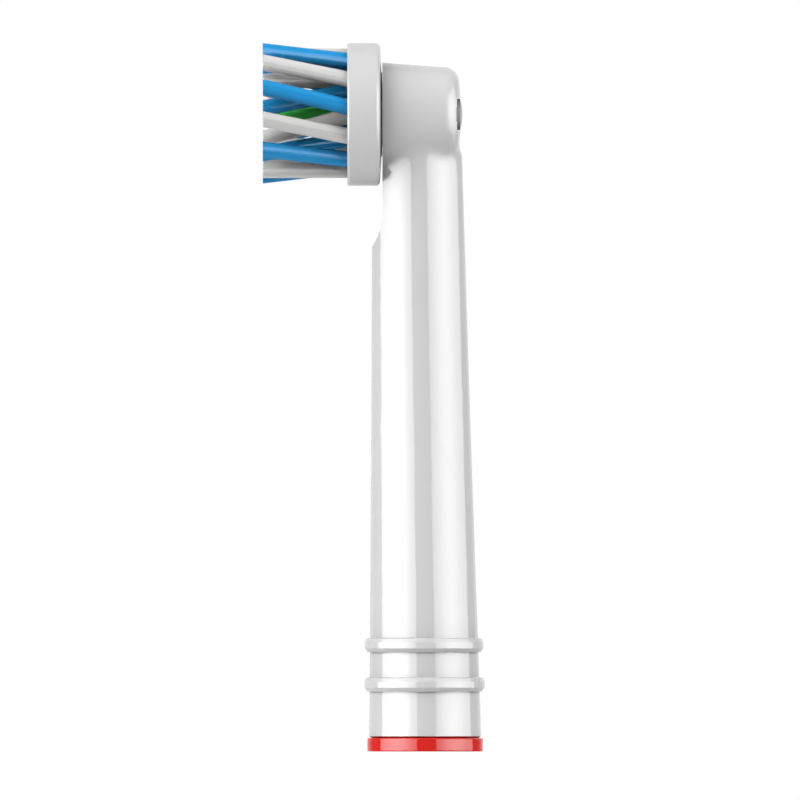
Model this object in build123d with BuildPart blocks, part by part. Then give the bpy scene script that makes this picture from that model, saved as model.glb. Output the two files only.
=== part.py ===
"""Electric toothbrush head with an oscillating round brush disc.

Frame: +Z runs up the stem's axis, the origin is the centre of the ring's
bottom face, and the bristles point towards -X. All sizes are millimetres.
"""

import os
from math import atan2, cos, pi, radians, sin, sqrt

from build123d import *

os.makedirs("parts", exist_ok=True)

# ---------------------------------------------------------------- dimensions
# colour ring at the foot
RING_R = 5.97  # outer radius
RING_H = 1.40  # height of the band that shows
SPIGOT_R = 5.2  # spigot that enters the stem
SPIGOT_TOP = 4.6
LEDGE_R = 5.55  # foot of the ledge that the stem stands on
LEDGE_FLARE = 51.0  # degrees that the ledge opens upwards
STEM_FOOT = 1.57  # bottom face of the stem moulding

# stem sections: height, front x, back x, radius of the rounded sides
STEM = [
    (STEM_FOOT, -5.78, 5.78, 5.79),
    (12.0, -5.68, 5.44, 5.60),
    (22.0, -5.62, 5.09, 5.45),
    (32.0, -5.56, 4.74, 5.33),
    (42.0, -5.52, 4.42, 5.20),
    (52.0, -5.48, 4.11, 5.08),
    (62.6, -5.43, 3.78, 4.95),
]
SIDE_TURN = 60.0  # degrees of each side's arc, either way from straight across
OVAL_POINTS = 24

# two ribs round the foot: bottom height, centre x, x radius, y radius
RIBS = [(6.16, -0.06, 6.20, 6.13), (10.22, -0.11, 6.11, 6.00)]
RIB_H = 1.50
RIB_TOP = (0.19, 0.46)  # inward run and height of the upper slope
RIB_CREST = (0.22, 0.13)  # the same of the bevel above it
RIB_FOOT = (0.31, 0.42)  # the same of the lower slope

# front flat behind the disc, with a concave run-out below it
FLAT_X = -4.40
FLAT_FOOT = 55.5
RUNOUT_R = 6.1

# neck drum: turned about an axis along X, profile of x and radius
AXIS_Z = 65.68
DRUM_FRONT = (-4.90, 5.39)
DRUM_CORNER = (3.36, 4.76)
DRUM_BACK = (3.70, 1.40)
DRUM_ROUND = 1.5
NECK_FILLET = 2.8
BACK_RUNOUT = [(3.57, 62.85), (3.54, 62.30), (3.65, 61.90), (3.815, 61.45)]  # x and height

# brush disc
DISC_R = 7.37
DISC_FRONT = -8.03
DISC_BACK = -4.51
BACK_ROUND = (0.45, 0.50)  # depth and height of the round at its back edge
BACK_CONE = (0.13, 2.40)  # depth and width of the slope inside that round
FLANGE_R = 4.35  # thrust flange that runs on the drum's face
FLANGE_BACK = FLAT_X - 0.02
HUB_R = 3.40
HUB_BACK = -0.70
RECESS_R = 3.55
RECESS_END = -0.55

# axle pin
AXLE_R = 0.75
AXLE_RUN_R = 0.79  # bore that it turns in
AXLE_FRONT = -5.25
HEAD_R = 1.62
HEAD_SEAT = 3.24
HEAD_UNDER = 3.28
HEAD_TOP = 3.84
HEAD_EDGE = 0.34  # straight edge of the head, under its dome
SEAT_HALF = 1.68  # half height of the flat band that the head sits in

# drive: crank throw and depth of the ball below the disc's axis
CRANK_E = 1.50
BALL_DROP = 1.864
BALL_R = 0.55
CRANK_R = 0.40
SLOT_HALF = 0.61
SHAFT_TOP = 61.20
BORE_R = 2.10
JOURNAL_R = 2.05
BORE_TOP = 62.60
SHOULDER_Z = 49.0
SHAFT_FOOT = 11.55
SOCKET_R = 3.00
COLLAR_R = 3.55
D_R = 2.00
D_FLAT = 1.45
D_DEPTH = 17.0

# sleeve in the foot
SLEEVE_R = 4.85
SLEEVE_BORE_R = 4.30
SLEEVE_FOOT = 0.0
SLEEVE_TOP = 11.40
SLEEVE_LIP_R = 3.20
SLEEVE_LIP_H = 1.20

# bristle tufts
TIP_X = -16.76
HOLE_DEPTH = 2.30
HOLE_PLAY = 0.02
TUFT_RISE = 0.12  # how far the field of tufts stands above the disc's centre
OUTER = dict(n=12, r=5.90, start=6.6, lean=2.00, flare=0.24, tuft=0.825)
INNER = dict(n=8, r=3.50, start=-5.0, lean=-2.30, flare=0.0, tuft=0.815)
CORE = dict(n=2, r=1.25, start=31.0, lean=-1.75, flare=0.0, tuft=0.65)
ANCHOR = (1.10, 0.30, 1.00)  # width, thickness, depth of each tuft's anchor

SPAN = DISC_FRONT - TIP_X


def tuft_axes():
    """Name, colour, hole radius, foot point on the disc's face and direction."""
    out = []
    for ring, spec in (("outer", OUTER), ("inner", INNER), ("core", CORE)):
        for i in range(spec["n"]):
            a = radians(spec["start"] + 360.0 / spec["n"] * i)
            radial = Vector(0, -cos(a), sin(a))
            along = Vector(0, sin(a), cos(a))
            foot = Vector(DISC_FRONT, 0, AXIS_Z + TUFT_RISE) + radial * spec["r"]
            way = Vector(-SPAN, 0, 0) + along * spec["lean"] + radial * spec["flare"]
            out.append((f"tuft_{ring}_{i + 1:02d}", spec["tuft"], foot, way.normalized()))
    return out


TUFTS = tuft_axes()


def oval(front, back, side_r):
    """Points of a four-arc oval: side arcs of side_r, tighter arcs at its ends."""
    turn = radians(SIDE_TURN)
    a, cx = (back - front) / 2, (front + back) / 2
    end_r = (a - side_r * sin(turn)) / (1 - sin(turn))
    shift = (side_r - end_r) * cos(turn)
    out = []
    for i in range(OVAL_POINTS):
        t = 2 * pi * i / OVAL_POINTS
        sx, sy = (1 if cos(t) >= 0 else -1), (1 if sin(t) >= 0 else -1)
        az = atan2(abs(cos(t)), abs(sin(t)))  # way that the wall faces: 0 is sideways
        if az <= turn:
            x, y = side_r * sin(az), side_r * cos(az) - shift
        else:
            x, y = a - end_r + end_r * sin(az), end_r * cos(az)
        out.append((cx + sx * x, sy * y))
    return out


def across(x):
    """Plane square to the disc's axis at x, its own x along Y and y along Z."""
    return Plane(origin=(x, 0, AXIS_Z), x_dir=(0, 1, 0), z_dir=(1, 0, 0))


# ------------------------------------------------------------ stem housing
# one rib, then the other
rib_solids = []
for z, cx, rx, ry in RIBS:
    with BuildPart() as rib:
        with BuildSketch(Plane.XY.offset(z)):
            with Locations((cx, 0)):
                Ellipse(rx, ry)
        extrude(amount=RIB_H)
        chamfer(rib.edges().sort_by(Axis.Z)[-1], *RIB_TOP, reference=rib.faces().sort_by(Axis.Z)[-1])
        chamfer(rib.edges().sort_by(Axis.Z)[-1], *RIB_CREST, reference=rib.faces().sort_by(Axis.Z)[-1])
        chamfer(rib.edges().sort_by(Axis.Z)[0], *RIB_FOOT, reference=rib.faces().sort_by(Axis.Z)[0])
    rib_solids.append(rib.part)

with BuildPart() as stem_housing:
    # outer form of the stem
    for z, front, back, side_r in STEM:
        with BuildSketch(Plane.XY.offset(z)):
            with BuildLine():
                Spline(*oval(front, back, side_r), periodic=True)
            make_face()
    loft()
    # drum that carries the disc
    with BuildSketch(Plane.XZ) as drum_sketch:
        with BuildLine():
            Polyline(
                (DRUM_FRONT[0], AXIS_Z),
                (DRUM_FRONT[0], AXIS_Z + DRUM_FRONT[1]),
                (DRUM_CORNER[0], AXIS_Z + DRUM_CORNER[1]),
                (DRUM_BACK[0], AXIS_Z + DRUM_BACK[1]),
                (DRUM_BACK[0], AXIS_Z),
                (DRUM_FRONT[0], AXIS_Z),
            )
        make_face()
        fillet(drum_sketch.vertices().sort_by(Axis.Y)[-2], DRUM_ROUND)
    revolve(axis=Axis((0, 0, AXIS_Z), (1, 0, 0)))
    # flat behind the disc and its run-out
    runout_foot = 51.6
    runout_x = FLAT_X - RUNOUT_R + sqrt(RUNOUT_R**2 - (FLAT_FOOT - runout_foot) ** 2)
    with BuildSketch(Plane.XZ):
        with BuildLine():
            l1 = Line((FLAT_X, 75.0), (FLAT_X, FLAT_FOOT))
            l2 = RadiusArc(l1 @ 1, (runout_x, runout_foot), RUNOUT_R)
            l3 = Polyline(l2 @ 1, (-9.0, runout_foot), (-9.0, 75.0), l1 @ 0)
        make_face()
    extrude(amount=8, both=True, mode=Mode.SUBTRACT)
    # blend where the drum meets the stem
    seam = [
        e
        for e in stem_housing.edges().filter_by(GeomType.BSPLINE)
        if 59.5 < e.center().Z < 64.0
        and e.center().X > FLAT_X + 0.02
        and e.bounding_box().size.X > 0.5
    ]
    fillet(seam, NECK_FILLET)
    # hollow at the back, where the stem's edge runs out into the drum
    with BuildSketch(Plane.XZ):
        with BuildLine():
            c1 = Line(*BACK_RUNOUT[:2])
            c2 = ThreePointArc(*BACK_RUNOUT[1:])
            c3 = Polyline(c2 @ 1, (5.0, BACK_RUNOUT[3][1]), (5.0, BACK_RUNOUT[0][1]), c1 @ 0)
        make_face()
    extrude(amount=8, both=True, mode=Mode.SUBTRACT)
    # ribs
    for solid in rib_solids:
        add(solid)
    # socket for the ring's spigot and the sleeve
    with BuildSketch(Plane.XY.offset(STEM_FOOT)):
        Circle(SPIGOT_R)
    extrude(amount=SPIGOT_TOP - STEM_FOOT, mode=Mode.SUBTRACT)
    with BuildSketch(Plane.XY.offset(STEM_FOOT)):
        Circle(SLEEVE_R)
    extrude(amount=SLEEVE_TOP - STEM_FOOT, mode=Mode.SUBTRACT)
    # hollow up the stem, which keeps an even wall
    for z, rx, ry in ((SLEEVE_TOP, 4.05, 4.05), (26.0, 3.85, 3.80), (38.0, 3.55, 3.40), (SHOULDER_Z, 3.2, 2.95)):
        with BuildSketch(Plane.XY.offset(z)):
            Ellipse(rx, ry)
    loft(mode=Mode.SUBTRACT)
    # bearing bore for the drive shaft
    with BuildSketch(Plane.XY.offset(SHOULDER_Z - 0.5)):
        Circle(BORE_R)
    extrude(amount=BORE_TOP - SHOULDER_Z + 0.5, mode=Mode.SUBTRACT)
    # recess for the disc's hub
    with BuildSketch(across(FLAT_X - 1.0)):
        Circle(RECESS_R)
    extrude(amount=RECESS_END - FLAT_X + 1.0, mode=Mode.SUBTRACT)
    # bearing bore for the axle pin
    with BuildSketch(across(RECESS_END - 0.5)):
        Circle(AXLE_RUN_R)
    extrude(amount=6.0, mode=Mode.SUBTRACT)
    # flat band across the back for the pin's head
    with BuildSketch(across(HEAD_SEAT)):
        RectangleRounded(14.0, 2 * SEAT_HALF, 0.25)
    extrude(amount=1.5, mode=Mode.SUBTRACT)

stem_housing.part.label = "stem_housing"
export_step(stem_housing.part, "parts/stem_housing.step")

# ------------------------------------------------------------- colour ring
with BuildPart() as colour_ring:
    with BuildSketch():
        Circle(RING_R)
    extrude(amount=RING_H)
    fillet(colour_ring.edges(), 0.12)
    with BuildSketch(Plane.XY.offset(RING_H)):
        Circle(LEDGE_R)
    extrude(amount=STEM_FOOT - RING_H, taper=-LEDGE_FLARE)
    with BuildSketch(Plane.XY.offset(0.5)):
        Circle(SPIGOT_R)
    extrude(amount=SPIGOT_TOP - 0.5)
    # bore that the sleeve fills
    with BuildSketch(Plane.XY.offset(-0.5)):
        Circle(SLEEVE_R)
    extrude(amount=6.0, mode=Mode.SUBTRACT)

colour_ring.part.label = "colour_ring"
export_step(colour_ring.part, "parts/colour_ring.step")

# ------------------------------------------------------------- base sleeve
with BuildPart() as base_sleeve:
    with BuildSketch(Plane.XY.offset(SLEEVE_FOOT)):
        Circle(SLEEVE_R)
    extrude(amount=SLEEVE_TOP - SLEEVE_FOOT)
    with BuildSketch(Plane.XY.offset(SLEEVE_FOOT)):
        Circle(SLEEVE_BORE_R)
    extrude(amount=SLEEVE_TOP - SLEEVE_LIP_H - SLEEVE_FOOT, mode=Mode.SUBTRACT)
    with BuildSketch(Plane.XY.offset(SLEEVE_TOP - SLEEVE_LIP_H - 0.5)):
        Circle(SLEEVE_LIP_R)
    extrude(amount=SLEEVE_LIP_H + 1.0, mode=Mode.SUBTRACT)
    # four grip slots in the lip
    with BuildSketch(Plane.XY.offset(SLEEVE_TOP - SLEEVE_LIP_H - 0.1)):
        with PolarLocations(SLEEVE_LIP_R + 0.25, 4, start_angle=45):
            Rectangle(1.1, 1.2)
    extrude(amount=SLEEVE_LIP_H + 0.2, mode=Mode.SUBTRACT)

base_sleeve.part.label = "base_sleeve"
export_step(base_sleeve.part, "parts/base_sleeve.step")

# ------------------------------------------------------------- drive shaft
with BuildPart() as drive_shaft:
    with BuildSketch(Plane.XZ):
        with BuildLine():
            Polyline(
                (0, SHAFT_FOOT),
                (COLLAR_R, SHAFT_FOOT),
                (COLLAR_R, SHAFT_FOOT + 1.1),
                (SOCKET_R, SHAFT_FOOT + 1.6),
                (SOCKET_R, SHAFT_FOOT + 18.5),
                (2.35, SHAFT_FOOT + 21.5),
                (2.35, SHOULDER_Z - 0.15),
                (JOURNAL_R, SHOULDER_Z - 0.15),
                (JOURNAL_R, SHAFT_TOP),
                (0, SHAFT_TOP),
                (0, SHAFT_FOOT),
            )
        make_face()
    revolve(axis=Axis.Z)
    # D-shaped socket for the handle's shaft
    with BuildSketch(Plane.XY.offset(SHAFT_FOOT)):
        Circle(D_R)
        with Locations((D_FLAT + 2.0, 0)):
            Rectangle(4.0, 6.0, mode=Mode.SUBTRACT)
    extrude(amount=D_DEPTH, mode=Mode.SUBTRACT)
    # seat for the crank pin
    with BuildSketch(Plane.XY.offset(SHAFT_TOP)):
        with Locations((-CRANK_E, 0)):
            Circle(CRANK_R)
    extrude(amount=-3.0, mode=Mode.SUBTRACT)

drive_shaft.part.label = "drive_shaft"
export_step(drive_shaft.part, "parts/drive_shaft.step")

# --------------------------------------------------------------- crank pin
with BuildPart() as crank_pin:
    with BuildSketch(Plane.XY.offset(SHAFT_TOP - 3.0)):
        with Locations((-CRANK_E, 0)):
            Circle(CRANK_R)
    extrude(amount=AXIS_Z - BALL_DROP - SHAFT_TOP + 3.0)
    with Locations((-CRANK_E, 0, AXIS_Z - BALL_DROP)):
        Sphere(BALL_R)

crank_pin.part.label = "crank_pin"
export_step(crank_pin.part, "parts/crank_pin.step")

# -------------------------------------------------------------- brush disc
with BuildPart() as brush_disc:
    # carrier: square front edge with a small round, soft round at the back
    with BuildSketch(Plane.XZ.offset(0)):
        with BuildLine():
            f1 = Line((DISC_FRONT, AXIS_Z), (DISC_FRONT, AXIS_Z + DISC_R - 0.28))
            f2 = RadiusArc(f1 @ 1, (DISC_FRONT + 0.28, AXIS_Z + DISC_R), 0.28)
            round_x = DISC_BACK - BACK_CONE[0] - BACK_ROUND[0]
            f3 = Line(f2 @ 1, (round_x, AXIS_Z + DISC_R))
            f4 = EllipticalCenterArc(
                (round_x, AXIS_Z + DISC_R - BACK_ROUND[1]), *BACK_ROUND, start_angle=0, arc_size=90
            )
            f5 = Polyline(
                (DISC_BACK - BACK_CONE[0], AXIS_Z + DISC_R - BACK_ROUND[1]),
                (DISC_BACK, AXIS_Z + DISC_R - BACK_CONE[1]),
                (DISC_BACK, AXIS_Z + FLANGE_R),
                (FLANGE_BACK, AXIS_Z + FLANGE_R),
                (FLANGE_BACK, AXIS_Z + HUB_R),
                (HUB_BACK, AXIS_Z + HUB_R),
                (HUB_BACK, AXIS_Z),
                (DISC_FRONT, AXIS_Z),
            )
        make_face()
    revolve(axis=Axis((0, 0, AXIS_Z), (1, 0, 0)))
    # tuft holes
    for name, r, foot, way in TUFTS:
        with BuildSketch(Plane(origin=foot + way * 1.0, z_dir=way)):
            Circle(r + HOLE_PLAY)
        extrude(amount=-(1.0 + HOLE_DEPTH), mode=Mode.SUBTRACT)
    # seat for the axle pin
    with BuildSketch(across(AXLE_FRONT)):
        Circle(AXLE_R)
    extrude(amount=6.0, mode=Mode.SUBTRACT)
    # crank slot, with a flared mouth so the pin clears as the disc tilts
    with BuildSketch(across(-2.35)):
        with BuildLine():
            Polyline(
                (-SLOT_HALF, -1.20),
                (SLOT_HALF, -1.20),
                (SLOT_HALF, -2.12),
                (SLOT_HALF + 0.85, -3.60),
                (-SLOT_HALF - 0.85, -3.60),
                (-SLOT_HALF, -2.12),
                (-SLOT_HALF, -1.20),
            )
        make_face()
    extrude(amount=3.0, mode=Mode.SUBTRACT)

brush_disc.part.label = "brush_disc"
export_step(brush_disc.part, "parts/brush_disc.step")

# ---------------------------------------------------------------- axle pin
cap_h = HEAD_TOP - HEAD_UNDER - HEAD_EDGE
cap_r = (HEAD_R**2 + cap_h**2) / (2 * cap_h)
cap_mid = HEAD_TOP - cap_r + sqrt(cap_r**2 - (HEAD_R / 2) ** 2)
with BuildPart() as axle_pin:
    with BuildSketch(Plane.XZ):
        with BuildLine():
            a1 = Polyline(
                (AXLE_FRONT, AXIS_Z),
                (AXLE_FRONT, AXIS_Z + AXLE_R),
                (HEAD_UNDER, AXIS_Z + AXLE_R),
                (HEAD_UNDER, AXIS_Z + HEAD_R),
                (HEAD_UNDER + HEAD_EDGE, AXIS_Z + HEAD_R),
            )
            a2 = ThreePointArc(a1 @ 1, (cap_mid, AXIS_Z + HEAD_R / 2), (HEAD_TOP, AXIS_Z))
            a3 = Line(a2 @ 1, a1 @ 0)
        make_face()
    revolve(axis=Axis((0, 0, AXIS_Z), (1, 0, 0)))

axle_pin.part.label = "axle_pin"
export_step(axle_pin.part, "parts/axle_pin.step")

# --------------------------------------------- bristle tufts and their anchors
anchor_solids = []
for name, r, foot, way in TUFTS:
    bed = foot - way * HOLE_DEPTH
    with BuildPart() as tuft:
        with BuildSketch(Plane(origin=bed, z_dir=way)):
            Circle(r)
        extrude(amount=HOLE_DEPTH + SPAN + 3.0)
        split(bisect_by=Plane(origin=(TIP_X, 0, 0), z_dir=(1, 0, 0)), keep=Keep.TOP)
        # notch that the folded tuft leaves for its anchor
        with BuildSketch(Plane(origin=bed, z_dir=way)):
            Rectangle(ANCHOR[0], ANCHOR[1])
        extrude(amount=ANCHOR[2], mode=Mode.SUBTRACT)
    tuft.part.label = name
    export_step(tuft.part, f"parts/{name}.step")
    with BuildPart() as anchor:
        with BuildSketch(Plane(origin=bed, z_dir=way)):
            Rectangle(ANCHOR[0], ANCHOR[1])
        extrude(amount=ANCHOR[2])
    anchor_solids.append(anchor.part)

with BuildPart() as tuft_anchors:
    for solid in anchor_solids:
        add(solid)

tuft_anchors.part.label = "tuft_anchors"
export_step(tuft_anchors.part, "parts/tuft_anchors.step")
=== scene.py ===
import math
import random

import bpy
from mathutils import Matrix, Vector


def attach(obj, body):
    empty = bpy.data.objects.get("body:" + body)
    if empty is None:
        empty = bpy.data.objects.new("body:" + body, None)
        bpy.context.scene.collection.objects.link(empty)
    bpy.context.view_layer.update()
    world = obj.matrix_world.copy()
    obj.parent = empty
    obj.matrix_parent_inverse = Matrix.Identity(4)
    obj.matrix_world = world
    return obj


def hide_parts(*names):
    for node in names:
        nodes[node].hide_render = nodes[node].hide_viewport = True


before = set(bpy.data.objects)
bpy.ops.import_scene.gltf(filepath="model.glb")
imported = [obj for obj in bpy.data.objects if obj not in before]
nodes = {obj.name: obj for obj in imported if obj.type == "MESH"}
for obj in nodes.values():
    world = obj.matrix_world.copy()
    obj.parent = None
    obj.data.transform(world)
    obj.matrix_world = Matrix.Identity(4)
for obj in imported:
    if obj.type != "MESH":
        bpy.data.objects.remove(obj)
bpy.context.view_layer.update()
scene = bpy.context.scene
MM = 0.001

# ------------------------------------------------------------------ camera
cam_data = bpy.data.cameras.new("camera")
cam_data.type = "ORTHO"
cam_data.ortho_scale = 0.08248
cam_data.clip_start, cam_data.clip_end = 0.01, 5.0
cam = bpy.data.objects.new("camera", cam_data)
cam.location = (-0.002588, -0.5, 0.03624)
cam.rotation_euler = (math.radians(90), 0, 0)
scene.collection.objects.link(cam)
scene.camera = cam
scene.view_settings.view_transform = "Standard"
scene.view_settings.look = "None"


# ------------------------------------------------------------ node helpers
class Tree:
    """Short calls for building a node tree."""

    def __init__(self, tree):
        self.tree = tree
        tree.nodes.clear()

    def add(self, kind, values=None, **props):
        n = self.tree.nodes.new(kind)
        for k, v in props.items():
            setattr(n, k, v)
        for k, v in (values or {}).items():
            n.inputs[k].default_value = v
        return n

    def link(self, a, b):
        self.tree.links.new(a, b)

    def math(self, op, a, b=None, c=None, clamp=False):
        n = self.add("ShaderNodeMath", operation=op, use_clamp=clamp)
        for i, x in enumerate((a, b, c)):
            if x is None:
                continue
            if isinstance(x, (int, float)):
                n.inputs[i].default_value = x
            else:
                self.link(x, n.inputs[i])
        return n.outputs[0]

    def ramp(self, fac, stops, interpolation="LINEAR"):
        n = self.add("ShaderNodeValToRGB")
        cr = n.color_ramp
        cr.interpolation = interpolation
        while len(cr.elements) < len(stops):
            cr.elements.new(0.5)
        for e, (pos, col) in zip(cr.elements, stops):
            e.position = pos
        for e, (pos, col) in zip(cr.elements, stops):
            e.color = (col, col, col, 1) if isinstance(col, (int, float)) else (*col, 1)
        self.link(fac, n.inputs[0])
        return n.outputs[0]


# ------------------------------------------------------------------- light
# a white surround with two tall soft boxes, one each side of the viewer
world = bpy.data.worlds.new("studio")
scene.world = world
world.use_nodes = True
w = Tree(world.node_tree)
coord = w.add("ShaderNodeTexCoord")
sep = w.add("ShaderNodeSeparateXYZ")
w.link(coord.outputs["Generated"], sep.inputs[0])
dx, dy, dz = sep.outputs
az = w.math("DIVIDE", w.math("ARCTAN2", dx, w.math("MULTIPLY", dy, -1.0)), 2 * math.pi)
az = w.math("ADD", az, 0.5)
el = w.math("DIVIDE", w.math("ARCSINE", dz), math.pi)
el = w.math("ADD", el, 0.5)

BOX_GAIN = 8.9
BACK = 0.020
SOFT_GAIN = 1.03


def turn(deg):
    return 0.5 + deg / 360.0


def box(a, b, stops):
    """One soft box: dark outside a and b, its brightness given in between."""
    out = [(turn(a - 0.7), 0.0), (turn(a + 0.7), stops[0][1])]
    out += [(turn(d), v) for d, v in stops[1:-1]]
    out += [(turn(b - 0.7), stops[-1][1]), (turn(b + 0.7), 0.0)]
    return out


def window(value, a, b, half):
    """1 between a and b and 0 outside, with edges crisper than a ramp's."""
    rise = w.add("ShaderNodeMapRange", {"From Min": a - half, "From Max": a + half})
    drop = w.add("ShaderNodeMapRange", {"From Min": b - half, "From Max": b + half, "To Min": 1.0, "To Max": 0.0})
    for n in (rise, drop):
        w.link(value, n.inputs["Value"])
    return w.math("MULTIPLY", rise.outputs[0], drop.outputs[0])


def upright(stops):
    """A ramp by height, from straight down to straight up."""
    return w.ramp(el, [(0.5 + d / 180, v) for d, v in stops])


LEFT_BOX = [(-100, 0.50), (-85, 0.78), (-71, 1.08), (-61, 1.18), (-48, 1.13), (-39, 0.98), (-29, 0.68), (-17, 0.46)]
RIGHT_BOX = [(23, 0.40), (37, 0.69), (48, 0.92), (60, 1.03), (70, 1.00), (82, 0.80), (94, 0.58), (109, 0.38)]
BEHIND = 0.085
around = w.ramp(az, [(0.0, BEHIND), (turn(-150), BEHIND), (turn(-128), BACK), (turn(132), BACK), (turn(152), BEHIND), (1.0, BEHIND)])
for a, b, stops in ((-100.5, -16.0, LEFT_BOX), (22.2, 110.0, RIGHT_BOX)):
    glow = w.ramp(az, [(turn(d), v - BACK) for d, v in stops])
    around = w.math("MULTIPLY_ADD", window(az, turn(a), turn(b), 0.0005), glow, around)
FALL = [(-33.6, 0.37), (-24, 0.58), (-18, 0.76), (-10, 0.93), (0, 1.0), (12, 1.0), (25, 0.86), (36, 0.62), (45, 0.38), (47.8, 0.33)]
height = w.math("MULTIPLY", upright(FALL), window(el, 0.5 - 33.6 / 180, 0.5 + 47.8 / 180, 0.001))
mixed = w.add("ShaderNodeMix", data_type="FLOAT")
w.link(height, mixed.inputs["Factor"])
mixed.inputs[2].default_value = BACK
w.link(around, mixed.inputs[3])
boxes = w.add("ShaderNodeBackground")
w.link(w.math("MULTIPLY", mixed.outputs[0], BOX_GAIN), boxes.inputs["Strength"])

SOFT_LEFT = [(-75, 0.0), (-45, 0.06), (-20, 0.60), (0, 1.40), (20, 2.60), (45, 2.09), (75, 0.0)]
SOFT_RIGHT = [(-75, 0.69), (-45, 0.26), (-20, 0.0), (0, 0.92), (20, 2.57), (45, 1.93), (75, 0.0)]
SOFT_BELOW = [(-90, 2.39), (-45, 0.0)]
REAR_LEFT = [(-60, 1.02), (-20, 0.0), (20, 0.06), (60, 0.38)]
REAR_RIGHT = [(-60, 0.0), (-20, 0.32), (20, 1.50), (60, 0.16)]
parts = [
    (box(-100.5, -16.0, LEFT_BOX), SOFT_LEFT),
    (box(22.2, 110.0, RIGHT_BOX), SOFT_RIGHT),
    ([(0.0, 1.0), (turn(-125), 1.0), (turn(-101), 0.0)], REAR_LEFT),
    ([(turn(111), 0.0), (turn(135), 1.0), (1.0, 1.0)], REAR_RIGHT),
]
soft = upright(SOFT_BELOW)
for across, up in parts:
    soft = w.math("MULTIPLY_ADD", w.ramp(az, across), upright(up), soft)
ambient = w.add("ShaderNodeBackground")
w.link(w.math("MULTIPLY", soft, SOFT_GAIN), ambient.inputs["Strength"])
white = w.add("ShaderNodeBackground", {"Strength": 1.0})
for b in (boxes, ambient, white):
    b.inputs["Color"].default_value = (1, 1, 1, 1)
path = w.add("ShaderNodeLightPath")
mix_a = w.add("ShaderNodeMixShader")
w.link(path.outputs["Is Glossy Ray"], mix_a.inputs[0])
w.link(ambient.outputs[0], mix_a.inputs[1])
w.link(boxes.outputs[0], mix_a.inputs[2])
mix_b = w.add("ShaderNodeMixShader")
w.link(path.outputs["Is Camera Ray"], mix_b.inputs[0])
w.link(mix_a.outputs[0], mix_b.inputs[1])
w.link(white.outputs[0], mix_b.inputs[2])
world_out = w.add("ShaderNodeOutputWorld")
w.link(mix_b.outputs[0], world_out.inputs["Surface"])
world.cycles.sampling_method = "NONE"
scene.cycles.diffuse_bounces = 0


# --------------------------------------------------------------- materials
def new_material(name):
    m = bpy.data.materials.new(name)
    m.use_nodes = True
    return m, Tree(m.node_tree)


def principled(t, **values):
    b = t.add("ShaderNodeBsdfPrincipled")
    for k, v in values.items():
        b.inputs[k.replace("_", " ")].default_value = v
    out = t.add("ShaderNodeOutputMaterial")
    t.link(b.outputs[0], out.inputs["Surface"])
    return b


def moulded(name, low, high, rough, grain=1.0, ior=1.5, level=0.5, spread=0.03):
    """Moulded plastic: faint flow clouds in its colour, faint skin in its gloss."""
    m, t = new_material(name)
    b = principled(t, IOR=ior, Specular_IOR_Level=level)
    c = t.add("ShaderNodeTexCoord")
    clouds = t.add("ShaderNodeTexNoise", {"Scale": 180.0, "Detail": 3.0, "Roughness": 0.55})
    t.link(c.outputs["Object"], clouds.inputs["Vector"])
    t.link(t.ramp(clouds.outputs["Fac"], [(0.30, low), (0.70, high)]), b.inputs["Base Color"])
    skin = t.add("ShaderNodeTexNoise", {"Scale": 2600.0, "Detail": 2.0})
    t.link(c.outputs["Object"], skin.inputs["Vector"])
    span = t.add("ShaderNodeMapRange", {"To Min": rough - spread, "To Max": rough + spread})
    t.link(skin.outputs["Fac"], span.inputs["Value"])
    t.link(span.outputs[0], b.inputs["Roughness"])
    bump = t.add("ShaderNodeBump", {"Strength": 0.03 * grain, "Distance": 0.00002})
    t.link(skin.outputs["Fac"], bump.inputs["Height"])
    t.link(bump.outputs[0], b.inputs["Normal"])
    return m


def metal(name, low, high, rough, stretch, metallic=1.0):
    """Ground metal: fine marks along one direction."""
    m, t = new_material(name)
    b = principled(t, Metallic=metallic)
    c = t.add("ShaderNodeTexCoord")
    scale = t.add("ShaderNodeMapping")
    scale.inputs["Scale"].default_value = stretch
    t.link(c.outputs["Object"], scale.inputs["Vector"])
    marks = t.add("ShaderNodeTexNoise", {"Scale": 1.0, "Detail": 4.0, "Roughness": 0.6})
    t.link(scale.outputs[0], marks.inputs["Vector"])
    t.link(t.ramp(marks.outputs["Fac"], [(0.3, low), (0.7, high)]), b.inputs["Base Color"])
    span = t.add("ShaderNodeMapRange", {"To Min": rough - 0.08, "To Max": rough + 0.08})
    t.link(marks.outputs["Fac"], span.inputs["Value"])
    t.link(span.outputs[0], b.inputs["Roughness"])
    bump = t.add("ShaderNodeBump", {"Strength": 0.15, "Distance": 0.00001})
    t.link(marks.outputs["Fac"], bump.inputs["Height"])
    t.link(bump.outputs[0], b.inputs["Normal"])
    return m


def nylon(name, dark, base, light, rough=0.16):
    """Drawn nylon filament: each one a little lighter or darker than the next."""
    m, t = new_material(name)
    b = principled(t, IOR=1.53, Specular_IOR_Level=0.40)
    g = t.add("ShaderNodeNewGeometry")
    c = t.add("ShaderNodeTexCoord")
    streak = t.add("ShaderNodeTexNoise", {"Scale": 700.0, "Detail": 2.0})
    t.link(c.outputs["Object"], streak.inputs["Vector"])
    each = t.math("MULTIPLY", g.outputs["Random Per Island"], 0.7)
    each = t.math("ADD", each, t.math("MULTIPLY", streak.outputs["Fac"], 0.3))
    t.link(t.ramp(each, [(0.08, dark), (0.5, base), (0.92, light)]), b.inputs["Base Color"])
    span = t.add("ShaderNodeMapRange", {"To Min": rough - 0.04, "To Max": rough + 0.06})
    t.link(streak.outputs["Fac"], span.inputs["Value"])
    t.link(span.outputs[0], b.inputs["Roughness"])
    return m


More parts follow.
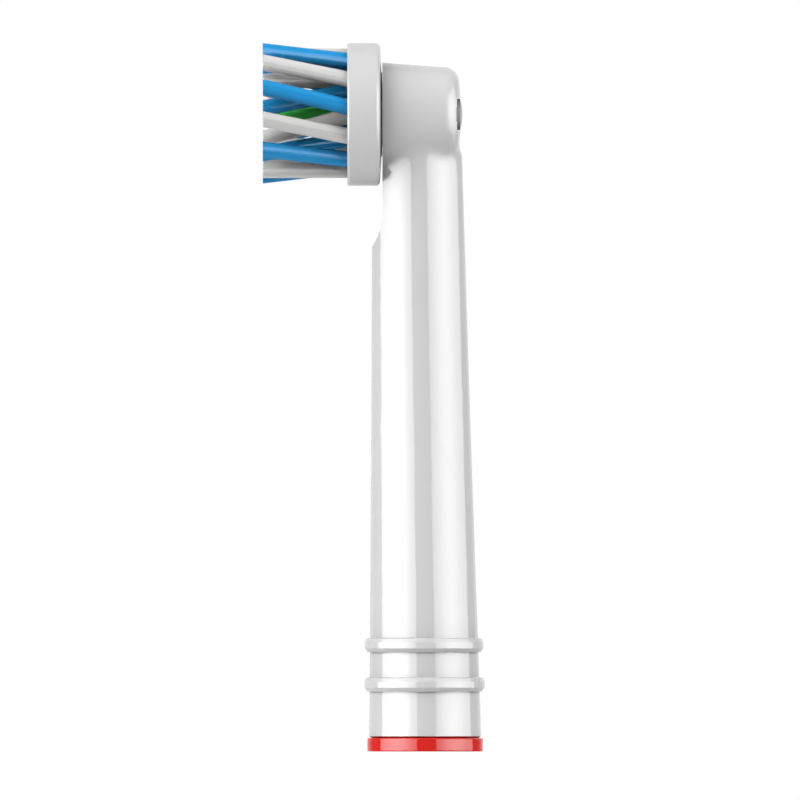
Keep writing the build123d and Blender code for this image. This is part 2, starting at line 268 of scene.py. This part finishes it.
WHITE = moulded("stem_white", (0.845, 0.845, 0.845), (0.862, 0.862, 0.860), 0.028, grain=0.35, spread=0.008)
DISC = moulded("disc_white", (0.835, 0.835, 0.835), (0.855, 0.855, 0.853), 0.09, grain=0.7, spread=0.02)
RED = moulded("ring_red", (0.90, 0.024, 0.019), (0.93, 0.028, 0.023), 0.035, grain=0.4, level=0.36, spread=0.01)
SLEEVE = moulded("sleeve_grey_white", (0.66, 0.67, 0.68), (0.70, 0.71, 0.72), 0.35, grain=2.0)
SHAFT = moulded("shaft_grey", (0.54, 0.55, 0.57), (0.60, 0.61, 0.63), 0.32, grain=2.0)
PIN = metal("pin_ground", (0.36, 0.36, 0.365), (0.42, 0.42, 0.425), 0.60, (900, 9000, 9000), metallic=0.45)
CRANK = metal("crank_ground", (0.50, 0.50, 0.51), (0.62, 0.62, 0.63), 0.25, (9000, 9000, 900))
ANCHOR = metal("anchor_brass", (0.58, 0.42, 0.17), (0.72, 0.55, 0.25), 0.35, (2000, 9000, 9000))
BLUE = nylon("filament_blue", (0.018, 0.345, 0.80), (0.024, 0.400, 0.90), (0.034, 0.455, 0.97))
SNOW = nylon("filament_white", (0.87, 0.865, 0.857), (0.935, 0.93, 0.92), (0.98, 0.975, 0.965))
GREEN = nylon("filament_green", (0.075, 0.88, 0.125), (0.085, 0.92, 0.140), (0.095, 0.95, 0.155))

CAD_LOOK = {
    "stem_housing": WHITE,
    "colour_ring": RED,
    "base_sleeve": SLEEVE,
    "drive_shaft": SHAFT,
    "crank_pin": CRANK,
    "brush_disc": DISC,
    "axle_pin": PIN,
    "tuft_anchors": ANCHOR,
}
for name, mat in CAD_LOOK.items():
    for s in nodes[name].material_slots:
        s.material = mat

# ---------------------------------------------------------- bristle tufts
# the same layout as the tuft holes in the disc, in millimetres
AXIS_Z = 65.68
TUFT_RISE = 0.12
DISC_FRONT = -8.03
TIP_X = -16.76
SPAN = DISC_FRONT - TIP_X
HOLE_DEPTH = 2.30
RINGS = {
    "outer": dict(n=12, r=5.90, start=6.6, lean=2.00, flare=0.24, tuft=0.825, trim=0.0),
    "inner": dict(n=8, r=3.50, start=-5.0, lean=-2.30, flare=0.0, tuft=0.815, trim=0.0),
    "core": dict(n=2, r=1.25, start=31.0, lean=-1.75, flare=0.0, tuft=0.61, trim=0.9),
}
FILAMENT_R = 0.078
SIDES = 8
SOFTEN = 0.85  # how far a filament's shading follows the round of its bundle


def tuft_layout():
    for ring, spec in RINGS.items():
        for i in range(spec["n"]):
            a = math.radians(spec["start"] + 360.0 / spec["n"] * i)
            radial = Vector((0, -math.cos(a), math.sin(a)))
            along = Vector((0, math.sin(a), math.cos(a)))
            foot = Vector((DISC_FRONT, 0, AXIS_Z + TUFT_RISE)) + radial * spec["r"]
            way = Vector((-SPAN, 0, 0)) + along * spec["lean"] + radial * spec["flare"]
            yield ring, i, foot, way.normalized(), spec["tuft"], TIP_X + spec["trim"]


def packed_circle(radius, rng):
    """Filament centres in rings, each ring as full as it goes."""
    pts = [(0.0, 0.0)]
    count = int((radius - FILAMENT_R) / (FILAMENT_R * 2.0) + 1e-6)
    step = (radius - FILAMENT_R) / count
    for k in range(1, count + 1):
        rr = k * step
        n = int(round(2 * math.pi * rr / (2 * FILAMENT_R * 0.84)))
        phase = rng.random() * 2 * math.pi
        for j in range(n):
            a = phase + 2 * math.pi * (j + rng.uniform(-0.08, 0.08)) / n
            q = rr - (rng.uniform(0.0, 0.10) if k == count else rng.uniform(-0.1, 0.1)) * FILAMENT_R
            pts.append((q * math.cos(a), q * math.sin(a)))
    return pts


def bundle(name, foot, way, radius, end_x, mat, seed):
    rng = random.Random(seed)
    side = way.cross(Vector((0, 0, 1))).normalized()
    up = side.cross(way).normalized()
    bed = foot - way * HOLE_DEPTH
    verts, normals, faces = [], [], []
    for u, v in packed_circle(radius, rng):
        r = FILAMENT_R * rng.uniform(0.97, 1.02)
        off = side * u + up * v
        out = off.normalized() if off.length > 1e-6 else Vector((0, 0, 0))
        # distance from the bed to the plane that the tips end at
        tip = (bed + off).x - end_x
        total = tip / -way.x - rng.uniform(0.0, 0.05)
        # an end leaning the wrong way would stand past the plane by a little
        total -= r * math.sqrt(max(0.0, 1 - way.x * way.x)) * 0.6
        bow = (side * rng.uniform(-1, 1) + up * rng.uniform(-1, 1)) * 0.012
        stations = [(0.0, 1.0, 0.0), (HOLE_DEPTH * 0.9, 1.0, 0.0), (HOLE_DEPTH + 3.0, 1.0, 0.0), (HOLE_DEPTH + 6.0, 1.0, 0.0)]
        stations += [(total - r * 0.70, 1.0, 0.0), (total - r * 0.25, 0.80, 0.6), (total, 0.38, 1.0)]
        base = len(verts)
        phase = rng.random() * math.pi
        for s, q, end in stations:
            f = max(0.0, s - HOLE_DEPTH) / (total - HOLE_DEPTH)
            c = bed + way * s + off + bow * math.sin(math.pi * f * 0.9)
            for k in range(SIDES):
                a = phase + 2 * math.pi * k / SIDES
                own = side * math.cos(a) + up * math.sin(a)
                verts.append((c + own * (r * q)) * MM)
                n = own * (1 - SOFTEN) + out * SOFTEN * (off.length / radius)
                normals.append((n.normalized() * (1 - end) + way * end).normalized())
        for i in range(len(stations) - 1):
            for k in range(SIDES):
                k2 = (k + 1) % SIDES
                a0, a1 = base + i * SIDES + k, base + i * SIDES + k2
                faces.append((a0, a0 + SIDES, a1 + SIDES, a1))
        last = base + (len(stations) - 1) * SIDES
        faces.append(tuple(range(last, last + SIDES)))
        faces.append(tuple(reversed(range(base, base + SIDES))))
    me = bpy.data.meshes.new(name)
    me.from_pydata([tuple(p) for p in verts], [], faces)
    for p in me.polygons:
        p.use_smooth = True
    me.normals_split_custom_set_from_vertices([tuple(n) for n in normals])
    me.materials.append(mat)
    ob = bpy.data.objects.new(name, me)
    scene.collection.objects.link(ob)
    return ob


for ring, i, foot, way, radius, end_x in tuft_layout():
    node = f"tuft_{ring}_{i + 1:02d}"
    if ring == "core":
        mat, slot = GREEN, "bristle_green"
    elif (i % 2 == 0) == (ring == "outer"):
        mat, slot = BLUE, "bristle_blue"
    else:
        mat, slot = SNOW, "bristle_white"
    tuft = bundle(f"bristles_{ring}_{i + 1:02d}", foot, way, radius, end_x, mat, seed=7 * i + len(ring) * 101)
    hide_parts(node)
    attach(tuft, "brush")

# ------------------------------------------------------------------- floor
floor_mesh = bpy.data.meshes.new("floor")
F = 2.0
floor_mesh.from_pydata([(-F, -F, 0), (F, -F, 0), (F, F, 0), (-F, F, 0)], [], [(0, 1, 2, 3)])
floor = bpy.data.objects.new("floor", floor_mesh)
scene.collection.objects.link(floor)
m, t = new_material("floor_pale")
b = principled(t, Roughness=0.8)
c = t.add("ShaderNodeTexCoord")
n = t.add("ShaderNodeTexNoise", {"Scale": 60.0, "Detail": 3.0})
t.link(c.outputs["Object"], n.inputs["Vector"])
t.link(t.ramp(n.outputs["Fac"], [(0.3, 0.92), (0.7, 0.94)]), b.inputs["Base Color"])
floor_mesh.materials.append(m)
floor.visible_glossy = False
floor.visible_diffuse = False
